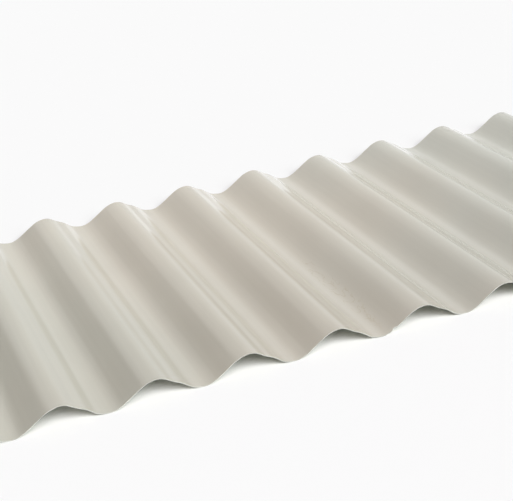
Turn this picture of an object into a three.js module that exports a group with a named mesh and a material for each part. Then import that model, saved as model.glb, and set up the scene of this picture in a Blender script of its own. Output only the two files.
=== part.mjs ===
// Corrugated metal sheet: one roll-formed steel strip, cut square at both ends.
//
// Frame: millimetres, +Z up. X runs across the corrugations, Y along them.
// The origin is on the ground plane, under the middle of the sheet.

import * as THREE from 'three';

// Driving dimensions, each set once.
const pitch = 76.2; // crest to crest, across the sheet
const overallDepth = 17.5; // from the feet of the valleys to the tops of the crests
const flankSlopeDegrees = 33.5; // of the straight flank between a valley and a crest
const sheetThickness = 0.48; // steel with its zinc and its paint
const crestCount = 11; // ten cover crests and one more for the side lap
const cutLength = 400; // end to end, along the corrugations
const facetsPerBend = 16; // even, so that a flat land lies at each crest and valley

const paint = { color: 0xc9c5bb, roughness: 0.3, metalness: 0 };

// The middle of the sheet's thickness is a chain of equal bends, alternately down and up,
// joined by straight flanks that touch both. Half a wave is one flank and a bend's half at
// each end of it: half the pitch wide and the middle line's depth high.
const halfPitch = pitch / 2;
const middleDepth = overallDepth - sheetThickness;
const flankSlope = THREE.MathUtils.degToRad(flankSlopeDegrees);
const flankLength = middleDepth / Math.tan(flankSlope / 2) - halfPitch;
const bendRadius = (halfPitch - flankLength * Math.cos(flankSlope)) / (2 * Math.sin(flankSlope));

const valleyCentreZ = sheetThickness / 2 + bendRadius;
const crestCentreZ = overallDepth - valleyCentreZ;

const facetStep = (2 * flankSlope) / facetsPerBend;
const leftEdgeX = -crestCount * halfPitch;

// One face of the sheet across the whole width, raised above the middle line by `offset`.
// Its facets touch the true bends, so the outermost ones lie at the exact depth, and the
// facet that joins two bends is the straight flank between them.
function faceOutline(offset) {
  const points = [];
  for (let bend = 0; bend <= 2 * crestCount; bend += 1) {
    const isCrest = bend % 2 === 1;
    const side = isCrest ? 1 : -1; // the bend's outside is up at a crest, down at a valley
    const centreX = leftEdgeX + bend * halfPitch;
    const centreZ = isCrest ? crestCentreZ : valleyCentreZ;
    const radius = bendRadius + side * offset;
    const cornerRadius = radius / Math.cos(facetStep / 2);
    const isLeftEdge = bend === 0;
    const isRightEdge = bend === 2 * crestCount;

    // Both side edges are turned down: the sheet begins and ends at the foot of a valley.
    if (isLeftEdge) {
      points.push(new THREE.Vector2(centreX, centreZ + side * radius));
    }
    const firstCorner = isLeftEdge ? facetsPerBend / 2 : 0;
    const lastCorner = isRightEdge ? facetsPerBend / 2 - 1 : facetsPerBend - 1;
    for (let corner = firstCorner; corner <= lastCorner; corner += 1) {
      const lean = -flankSlope + (corner + 0.5) * facetStep;
      points.push(
        new THREE.Vector2(
          centreX + cornerRadius * Math.sin(lean),
          centreZ + side * cornerRadius * Math.cos(lean),
        ),
      );
    }
    if (isRightEdge) {
      points.push(new THREE.Vector2(centreX, centreZ + side * radius));
    }
  }
  return points;
}

// The section is closed from the lower face, left to right, and the upper face back again.
function sheetSection() {
  const lowerFace = faceOutline(-sheetThickness / 2);
  const upperFace = faceOutline(sheetThickness / 2).reverse();
  return new THREE.Shape([...lowerFace, ...upperFace]);
}

// Extruded along Z, then turned so that the corrugations run along Y.
function corrugatedSheet() {
  const geometry = new THREE.ExtrudeGeometry(sheetSection(), {
    depth: cutLength,
    bevelEnabled: false,
  });
  const mesh = new THREE.Mesh(geometry, new THREE.MeshStandardMaterial(paint));
  mesh.name = 'corrugated_sheet';
  mesh.rotation.x = Math.PI / 2;
  mesh.position.y = cutLength / 2;
  return mesh;
}

const corrugatedMetalSheet = new THREE.Group();
corrugatedMetalSheet.add(corrugatedSheet());

export default corrugatedMetalSheet;
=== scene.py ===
import math

import bpy
import numpy as np
from mathutils import Matrix, Vector


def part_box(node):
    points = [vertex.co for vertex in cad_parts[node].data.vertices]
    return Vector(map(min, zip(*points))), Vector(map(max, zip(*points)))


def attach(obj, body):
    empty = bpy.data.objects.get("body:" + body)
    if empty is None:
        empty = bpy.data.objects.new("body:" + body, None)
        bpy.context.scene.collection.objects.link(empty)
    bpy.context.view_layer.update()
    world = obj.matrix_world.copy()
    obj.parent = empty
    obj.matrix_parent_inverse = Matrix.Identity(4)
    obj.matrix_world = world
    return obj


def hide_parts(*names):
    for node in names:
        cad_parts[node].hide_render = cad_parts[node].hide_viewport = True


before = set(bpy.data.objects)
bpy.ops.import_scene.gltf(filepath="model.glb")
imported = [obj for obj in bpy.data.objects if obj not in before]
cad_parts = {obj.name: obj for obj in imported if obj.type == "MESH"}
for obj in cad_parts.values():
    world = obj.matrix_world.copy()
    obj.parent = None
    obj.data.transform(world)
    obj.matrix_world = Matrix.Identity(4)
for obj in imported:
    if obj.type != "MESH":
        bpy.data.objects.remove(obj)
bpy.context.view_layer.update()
sheetLow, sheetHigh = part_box("corrugated_sheet")
print("frame loaded")

mm = 0.001
turn = 2 * math.pi

# the sheet's section and its small unevenness; lengths are in millimetres, slopes in degrees
sheetLook = {
    "crests": 11,
    "thickness": 0.48,
    "flankSlope": 33.5,
    "columnsPerHalfWave": 44,
    "rows": 48,
    "clearance": (0.18, 0.28),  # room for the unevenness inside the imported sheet, below and above
    # small waves inside each large one: how many to a wave, steepest slope, start in turns
    "rollWaves": ((3, 2.6, 0.27), (4, 2.5, 0.15), (5, 3.3, 0.0), (6, 2.2, 0.65)),
    # slanting ripples: height, length across, length along, start in turns
    "ripples": ((0.01, 27, 230, 0.2), (0.007, 46, -180, 0.5), (0.005, 16, 100, 0.8)),
    # what is cut out of the front edge: small sines by height and length, nicks by place, depth, width
    "ragged": ((0.03, 2.3), (0.03, 5.9), (0.05, 17)),
    "nicks": ((-26.5, 2.2, 2.0), (-33, 0.7, 1.6), (-45, 0.6, 1.2)),
    "sharpFrom": 60,  # edges that turn by more are shaded sharp
}


# How far a face stands off its true section, along the section's normal: a sum of sines. The roll
# waves run across alone, each as high as its steepest slope asks, and the ripples run slantwise.
def unevenness(x, y, pitch):
    out = 0
    for count, slope, start in sheetLook["rollWaves"]:
        height = math.tan(math.radians(slope)) * pitch / (turn * count)
        out = out + height * np.sin(turn * (count * x / pitch + start))
    for height, across, along, start in sheetLook["ripples"]:
        out = out + height * mm * np.sin(turn * (x / (across * mm) + y / (along * mm) + start))
    return out


# How far the front edge is cut back: small sines, raised so that none goes below nothing, and for
# each nick a bell curve of its depth and width.
def cutBack(x):
    back = 0
    for height, length in sheetLook["ragged"]:
        back = back + height * (1 + np.sin(turn * x / (length * mm)))
    for place, depth, width in sheetLook["nicks"]:
        back = back + depth * np.exp(-(((x / mm - place) / width) ** 2))
    return back * mm


# The middle line of half a wave, from a valley's foot to a crest's top, at shares of its developed
# length: an arc that leans from level to the flank's slope, the straight flank, and the same arc
# back. The radius is the one that lets both arcs touch the flank.
def halfWave(share, halfPitch, depth, slope):
    flank = depth / math.tan(slope / 2) - halfPitch
    radius = (halfPitch - flank * math.cos(slope)) / (2 * math.sin(slope))
    length = 2 * radius * slope + flank
    fromEnd = np.minimum(share, 1 - share) * length
    lean = np.clip(fromEnd / radius, 0, slope)
    onFlank = np.maximum(fromEnd - radius * slope, 0)
    x = radius * np.sin(lean) + onFlank * math.cos(slope)
    z = radius * (1 - np.cos(lean)) + onFlank * math.sin(slope)
    upper = share > 0.5  # this half is the lower one turned about the flank's middle
    return np.where(upper, halfPitch - x, x), np.where(upper, depth - z, z), lean


# The middle line of the whole width: half waves end to end, every second one run backwards.
def middleLine():
    halves = 2 * sheetLook["crests"]
    halfPitch = (sheetHigh.x - sheetLow.x) / halves
    thickness = sheetLook["thickness"] * mm
    below, above = (gap * mm for gap in sheetLook["clearance"])
    depth = sheetHigh.z - sheetLow.z - thickness - below - above
    place = np.linspace(0, halves, halves * sheetLook["columnsPerHalfWave"] + 1)
    index = np.minimum(np.floor(place), halves - 1)
    share = place - index
    falling = index % 2 == 1
    slope = math.radians(sheetLook["flankSlope"])
    x, z, lean = halfWave(np.where(falling, 1 - share, share), halfPitch, depth, slope)
    x = sheetLow.x + index * halfPitch + np.where(falling, halfPitch - x, x)
    z = sheetLow.z + below + thickness / 2 + z
    return x, z, np.where(falling, -lean, lean)


# The sheet's skin: the middle line carried along the sheet and moved half the thickness, and the
# unevenness, to each side along its normal. Four strips round the rim close it.
def buildSheet():
    x, z, lean = middleLine()
    y = np.linspace(sheetLow.y, sheetHigh.y, sheetLook["rows"] + 1)
    pitch = (sheetHigh.x - sheetLow.x) / sheetLook["crests"]
    shape = (len(y), len(x))
    uneven = unevenness(x[None, :], y[:, None], pitch)

    def facePoints(offset):
        out = offset + uneven
        points = np.empty((*shape, 3))
        points[..., 0] = x - out * np.sin(lean)
        points[..., 1] = y[:, None]
        points[0, :, 1] += cutBack(x)
        points[..., 2] = z + out * np.cos(lean)
        return points.reshape(-1, 3)

    def quads(*corners):
        return np.stack([corner.ravel() for corner in corners], axis=1)

    half = sheetLook["thickness"] * mm / 2
    points = np.concatenate([facePoints(half), facePoints(-half)])
    over = np.arange(len(x) * len(y)).reshape(shape)
    under = over + over.size
    top = quads(over[:-1, :-1], over[:-1, 1:], over[1:, 1:], over[1:, :-1])
    bottom = quads(under[:-1, :-1], under[1:, :-1], under[1:, 1:], under[:-1, 1:])
    rim = np.concatenate([
        quads(under[0, :-1], under[0, 1:], over[0, 1:], over[0, :-1]),
        quads(over[-1, :-1], over[-1, 1:], under[-1, 1:], under[-1, :-1]),
        quads(under[1:, 0], under[:-1, 0], over[:-1, 0], over[1:, 0]),
        quads(over[1:, -1], over[:-1, -1], under[:-1, -1], under[1:, -1]),
    ])
    topSlot, bottomSlot, rimSlot = 0, 1, 2
    slots = np.repeat([topSlot, bottomSlot, rimSlot], [len(top), len(bottom), len(rim)])
    mesh = bpy.data.meshes.new("corrugated_sheet_skin")
    mesh.from_pydata(points.tolist(), [], np.concatenate([top, bottom, rim]).tolist())
    mesh.polygons.foreach_set("material_index", slots.astype(np.int32))
    mesh.polygons.foreach_set("use_smooth", slots != rimSlot)
    mesh.update()
    mesh.set_sharp_from_angle(angle=math.radians(sheetLook["sharpFrom"]))
    piece = bpy.data.objects.new("sheet_skin", mesh)
    bpy.context.scene.collection.objects.link(piece)
    return piece


# A node with its inputs linked or set, and its other settings given by name.
def makeNode(tree, kind, values=None, **settings):
    made = tree.nodes.new(kind)
    for name, value in settings.items():
        setattr(made, name, value)
    for name, value in (values or {}).items():
        feed(tree, value, made.inputs[name])
    return made


def feed(tree, value, socket):
    if isinstance(value, bpy.types.NodeSocket):
        tree.links.new(value, socket)
    else:
        socket.default_value = value


def arithmetic(tree, operation, *values):
    return makeNode(tree, "ShaderNodeMath", dict(enumerate(values)), operation=operation).outputs[0]


def product(tree, first, *others):
    for other in others:
        first = arithmetic(tree, "MULTIPLY", first, other)
    return first


# A smooth step from one pair of values to another.
def rangeNode(tree, value, source, target):
    names = ("Value", "From Min", "From Max", "To Min", "To Max")
    values = dict(zip(names, (value, *source, *target)))
    step = makeNode(tree, "ShaderNodeMapRange", values, interpolation_type="SMOOTHSTEP")
    return step.outputs["Result"]


def objectPlace(tree):
    return makeNode(tree, "ShaderNodeTexCoord").outputs["Object"]


# A noise over the sheet. Its look is its repeats to a metre, across and along the ridges, its detail
# and its two end values; it reaches them where the plain noise passes the two edges.
def noiseNode(tree, look, edges=(0.3, 0.7)):
    across, along, detail, low, high = look
    stretch = {"Vector": objectPlace(tree), "Scale": (across, along, across)}
    mapped = makeNode(tree, "ShaderNodeMapping", stretch).outputs["Vector"]
    noise = makeNode(tree, "ShaderNodeTexNoise", {"Vector": mapped, "Scale": 1.0, "Detail": detail})
    return rangeNode(tree, noise.outputs["Fac"], edges, (low, high))


# One colour turned into another by a share; the numbers are the node's sockets for colours.
def mixedColour(tree, share, first, second):
    mix = makeNode(tree, "ShaderNodeMix", data_type="RGBA")
    feed(tree, share, mix.inputs[0])
    feed(tree, first, mix.inputs[6])
    feed(tree, second, mix.inputs[7])
    return mix.outputs[2]


def opaque(colour):
    return (*colour, 1)


def makeMaterial(name):
    material = bpy.data.materials.new(name)
    material.use_nodes = True
    tree = material.node_tree
    return material, tree, tree.nodes["Principled BSDF"]


# lengths are in millimetres; drift, mottle, streaks and the like are looks for noiseNode
coatLook = {
    "tints": ((0.580, 0.565, 0.486), (0.606, 0.565, 0.480), (0.560, 0.565, 0.504)),
    "tintPlaces": (-0.34, -0.10, 0.34),  # metres from the middle where each tint is pure
    "drift": (6, 4, 2, -0.06, 0.06),  # metres that the tints wander
    "paintedLightFrontToBack": (0.93, 1.08),  # painted light: the coat's level rises along the sheet, darker at the front and lighter at the back, in place of light that grows towards the back
    "mottle": (14, 9, 2, 0.985, 1.015),
    "streaks": (330, 5, 2, 0.99, 1.01),
    "roughness": (40, 12, 2, 0.12, 0.16),
    "gloss": 0.45,
    "glossRoughness": 0.04,
    "dimples": (70, 28, 3, 0, 0.02),  # heights of the coat's fine unevenness
    "stain": (-33, -100, 7, 95),  # its centre and reach, across and along
    "stainFade": (0.4, 1.0),  # from where to where it fades out, in squares of its reach
    "stainNoise": (150, 55, 3, 0, 1),
    "stainLines": (0.5, 0.02, 0.09),  # the noise's level that they follow, their core and soft rim
    "stainColour": (0.40, 0.33, 0.19),
    "stainStrength": 0.34,
    "specks": (18, 0.24, 0.6, 0.35),  # cells to a metre, core, soft rim, darkening
}


# Small dark specks: in each cell of a loose pattern, a dot about the cell's point.
def speckNode(tree, place):
    cells, core, rim, darkening = coatLook["specks"]
    pattern = makeNode(tree, "ShaderNodeTexVoronoi", {"Vector": place, "Scale": cells})
    size = (core * mm * cells, rim * mm * cells)
    return rangeNode(tree, pattern.outputs["Distance"], size, (1 - darkening, 1))


# A scrawled stain: the thin level lines of a noise, inside a long ellipse.
def stainNode(tree, axes):
    x, y, across, along = (length * mm for length in coatLook["stain"])
    sideways = arithmetic(tree, "DIVIDE", arithmetic(tree, "SUBTRACT", axes["X"], x), across)
    lengthways = arithmetic(tree, "DIVIDE", arithmetic(tree, "SUBTRACT", axes["Y"], y), along)
    squares = (product(tree, value, value) for value in (sideways, lengthways))
    inside = rangeNode(tree, arithmetic(tree, "ADD", *squares), coatLook["stainFade"], (1, 0))
    level, *width = coatLook["stainLines"]
    noise = noiseNode(tree, coatLook["stainNoise"])
    away = arithmetic(tree, "ABSOLUTE", arithmetic(tree, "SUBTRACT", noise, level))
    line = rangeNode(tree, away, width, (coatLook["stainStrength"], 0))
    return product(tree, line, inside)


# The coat's tint: a ramp across the sheet that spans one metre about its middle.
def tintNode(tree, axes):
    halfSpan = 0.5
    wandered = arithmetic(tree, "ADD", axes["X"], noiseNode(tree, coatLook["drift"]))
    share = arithmetic(tree, "ADD", wandered, halfSpan)
    tint = makeNode(tree, "ShaderNodeValToRGB", {"Fac": share})
    ramp = tint.color_ramp
    ramp.interpolation = "EASE"
    ramp.elements.new(halfSpan)
    for stop, colour, place in zip(ramp.elements, coatLook["tints"], coatLook["tintPlaces"]):
        stop.position = place + halfSpan
        stop.color = opaque(colour)
    return tint.outputs["Color"]


# The glossy top coat: a colour that drifts slowly over the sheet, with faint streaks along it, and
# painted light that makes it lighter from the front towards the back.
def topCoat():
    material, tree, shader = makeMaterial("top coat")
    place = objectPlace(tree)
    axes = makeNode(tree, "ShaderNodeSeparateXYZ", {"Vector": place}).outputs
    # painted light: the coat is made lighter towards the back, standing in for light that grows along
    # the sheet
    length = rangeNode(tree, axes["Y"], (sheetLow.y, sheetHigh.y), coatLook["paintedLightFrontToBack"])
    mottle, streaks = (noiseNode(tree, coatLook[name]) for name in ("mottle", "streaks"))
    level = product(tree, length, mottle, streaks, speckNode(tree, place))
    values = {0: tintNode(tree, axes), "Scale": level}
    clean = makeNode(tree, "ShaderNodeVectorMath", values, operation="SCALE").outputs["Vector"]
    stained = mixedColour(tree, stainNode(tree, axes), clean, opaque(coatLook["stainColour"]))
    height = noiseNode(tree, coatLook["dimples"])
    dimpled = makeNode(tree, "ShaderNodeBump", {"Height": height, "Distance": mm}).outputs["Normal"]
    feed(tree, stained, shader.inputs["Base Color"])
    feed(tree, noiseNode(tree, coatLook["roughness"]), shader.inputs["Roughness"])
    feed(tree, coatLook["gloss"], shader.inputs["Coat Weight"])
    feed(tree, coatLook["glossRoughness"], shader.inputs["Coat Roughness"])
    feed(tree, dimpled, shader.inputs["Normal"])
    feed(tree, dimpled, shader.inputs["Coat Normal"])
    return material


undersideLook = {
    "colour": (0.57, 0.58, 0.48),
    "worn": (0.63, 0.63, 0.54),
    "wear": (45, 6, 4, 0, 0.6),
    "wearEdges": (0.4, 0.7),
    "roughness": (30, 30, 2, 0.38, 0.55),
}


# The matt backing coat under the sheet, rubbed paler in streaks along the ridges.
def backingCoat():
    material, tree, shader = makeMaterial("backing coat")
    rubbed = noiseNode(tree, undersideLook["wear"], undersideLook["wearEdges"])
    colours = (opaque(undersideLook[name]) for name in ("colour", "worn"))
    feed(tree, mixedColour(tree, rubbed, *colours), shader.inputs["Base Color"])
    feed(tree, noiseNode(tree, undersideLook["roughness"]), shader.inputs["Roughness"])
    return material


edgeLook = {
    "bright": (0.60, 0.60, 0.56),
    "dull": (0.34, 0.35, 0.32),
    "dullness": (90, 40, 3, 0, 1),
    "roughness": 0.4,
}


# The cut edge: bare metal, bright in some places and dull in others.
def cutEdge():
    material, tree, shader = makeMaterial("cut edge")
    dullness = noiseNode(tree, edgeLook["dullness"])
    colours = (opaque(edgeLook[name]) for name in ("bright", "dull"))
    feed(tree, mixedColour(tree, dullness, *colours), shader.inputs["Base Color"])
    feed(tree, edgeLook["roughness"], shader.inputs["Roughness"])
    return material


sheet = buildSheet()
for makeFinish in (topCoat, backingCoat, cutEdge):  # in the order of the mesh's slots
    sheet.data.materials.append(makeFinish())
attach(sheet, "root")
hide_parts("corrugated_sheet")
print("sheet built")


floorLook = {
    "size": 12,
    "white": 0.92,
    "roughness": 1,
    "gloss": 0,
    "backdrop": 0.955,  # how white the glowing part is
    "sweep": (0.19, 0.235),  # from where to where the floor turns into it
    "sweepShare": 0.7,  # how far it turns into it
}


# A matt white floor. Behind the sheet it turns into a backdrop that glows by itself, for the eye and
# for what mirrors it, and lights nothing.
def buildFloor():
    bpy.ops.mesh.primitive_plane_add(size=floorLook["size"])
    floor = bpy.context.object
    floor.name = "floor"
    material, tree, shader = makeMaterial("floor")
    feed(tree, opaque([floorLook["white"]] * 3), shader.inputs["Base Color"])
    feed(tree, floorLook["roughness"], shader.inputs["Roughness"])
    feed(tree, floorLook["gloss"], shader.inputs["Specular IOR Level"])
    depth = makeNode(tree, "ShaderNodeSeparateXYZ", {"Vector": objectPlace(tree)}).outputs["Y"]
    behind = rangeNode(tree, depth, floorLook["sweep"], (0, floorLook["sweepShare"]))
    path = makeNode(tree, "ShaderNodeLightPath").outputs
    mirrored = arithmetic(tree, "MAXIMUM", path["Is Glossy Ray"], path["Is Transmission Ray"])
    seen = arithmetic(tree, "MAXIMUM", path["Is Camera Ray"], mirrored)
    glow = makeNode(tree, "ShaderNodeEmission", {"Color": opaque([floorLook["backdrop"]] * 3)})
    values = {0: product(tree, behind, seen), 1: shader.outputs["BSDF"], 2: glow.outputs["Emission"]}
    mixed = makeNode(tree, "ShaderNodeMixShader", values).outputs["Shader"]
    feed(tree, mixed, tree.nodes["Material Output"].inputs["Surface"])
    floor.data.materials.append(material)


buildFloor()
print("floor laid")


studioLook = {
    "fill": 0.25,  # what lights the matt colours from all round
    "shine": (0.12, 0.55, 0.75),  # what the gloss mirrors on the left, behind and on the right
    "leftEdges": (-0.35, -0.16),  # directions, as sines, between which it changes on the left
    "rightEdges": (0.07, 0.55),  # and on the right
    # each lamp: name, direction towards it, strength, spread in degrees, colour
    "lamps": (
        ("key", (0.64, -1.15, 0.8), 2.12, 35, (0.93, 1.0, 0.97)),
        ("top", (0.0, -1.0, 1.0), 1.97, 40, (1.065, 1.0, 1.03)),
    ),
}


# The room is white to the eye. The gloss sees it dim on the left side and brighter to the right.
def lightWorld():
    world = bpy.data.worlds.new("studio")
    bpy.context.scene.world = world
    world.use_nodes = True
    tree = world.node_tree
    tree.nodes.clear()
    towards = makeNode(tree, "ShaderNodeTexCoord").outputs["Generated"]
    sideways = makeNode(tree, "ShaderNodeSeparateXYZ", {"Vector": towards}).outputs["X"]
    left, behind, right = studioLook["shine"]
    leftward = rangeNode(tree, sideways, studioLook["leftEdges"], (left, behind))
    rightward = rangeNode(tree, sideways, studioLook["rightEdges"], (0, right - behind))
    shine = arithmetic(tree, "ADD", leftward, rightward)

    def light(strength):
        values = {"Color": opaque([1] * 3), "Strength": strength}
        return makeNode(tree, "ShaderNodeBackground", values).outputs[0]

    def mixed(share, first, second):
        return makeNode(tree, "ShaderNodeMixShader", {0: share, 1: first, 2: second}).outputs[0]

    path = makeNode(tree, "ShaderNodeLightPath").outputs
    direct = arithmetic(tree, "ADD", path["Is Camera Ray"], path["Is Transmission Ray"])
    plain = mixed(direct, light(studioLook["fill"]), light(floorLook["backdrop"]))
    whole = mixed(path["Is Glossy Ray"], plain, light(shine))
    makeNode(tree, "ShaderNodeOutputWorld", {"Surface": whole})


def addSun(name, towards, strength, spread, colour):
    data = bpy.data.lights.new(name, "SUN")
    data.energy = strength
    data.angle = math.radians(spread)
    data.color = colour
    lamp = bpy.data.objects.new(name, data)
    lamp.visible_glossy = False  # the gloss mirrors the room alone
    lamp.rotation_euler = Vector(towards).to_track_quat("Z", "Y").to_euler()
    bpy.context.scene.collection.objects.link(lamp)


lightWorld()
for lampLook in studioLook["lamps"]:
    addSun(*lampLook)
print("lights placed")


# the camera stands low in front of the sheet's left part; angles are in degrees
cameraLook = {
    "place": (-0.4260, -1.0843, 0.4897),
    "heading": 18.18,
    "dip": 22.67,
    "lean": -6.97,
    "focalPixels": 1333.4,
    "pictureWidth": 513,
    "sensor": 36.0,
}


# The view turns to the right by the heading, looks down by the dip, and leans about its own axis.
def placeCamera():
    heading, dip, lean = (math.radians(cameraLook[name]) for name in ("heading", "dip", "lean"))
    level = Vector((math.sin(heading), math.cos(heading), 0))
    forward = math.cos(dip) * level - math.sin(dip) * Vector((0, 0, 1))
    right = Vector((math.cos(heading), -math.sin(heading), 0))
    up = right.cross(forward)
    leanRight = math.cos(lean) * right + math.sin(lean) * up
    leanUp = -math.sin(lean) * right + math.cos(lean) * up
    data = bpy.data.cameras.new("camera")
    data.sensor_width = cameraLook["sensor"]
    data.lens = cameraLook["focalPixels"] * cameraLook["sensor"] / cameraLook["pictureWidth"]
    camera = bpy.data.objects.new("camera", data)
    facing = Matrix((leanRight, leanUp, -forward)).transposed().to_4x4()
    camera.matrix_world = Matrix.Translation(Vector(cameraLook["place"])) @ facing
    bpy.context.scene.collection.objects.link(camera)
    bpy.context.scene.camera = camera


placeCamera()
bpy.context.scene.view_settings.view_transform = "Standard"
print("camera placed")
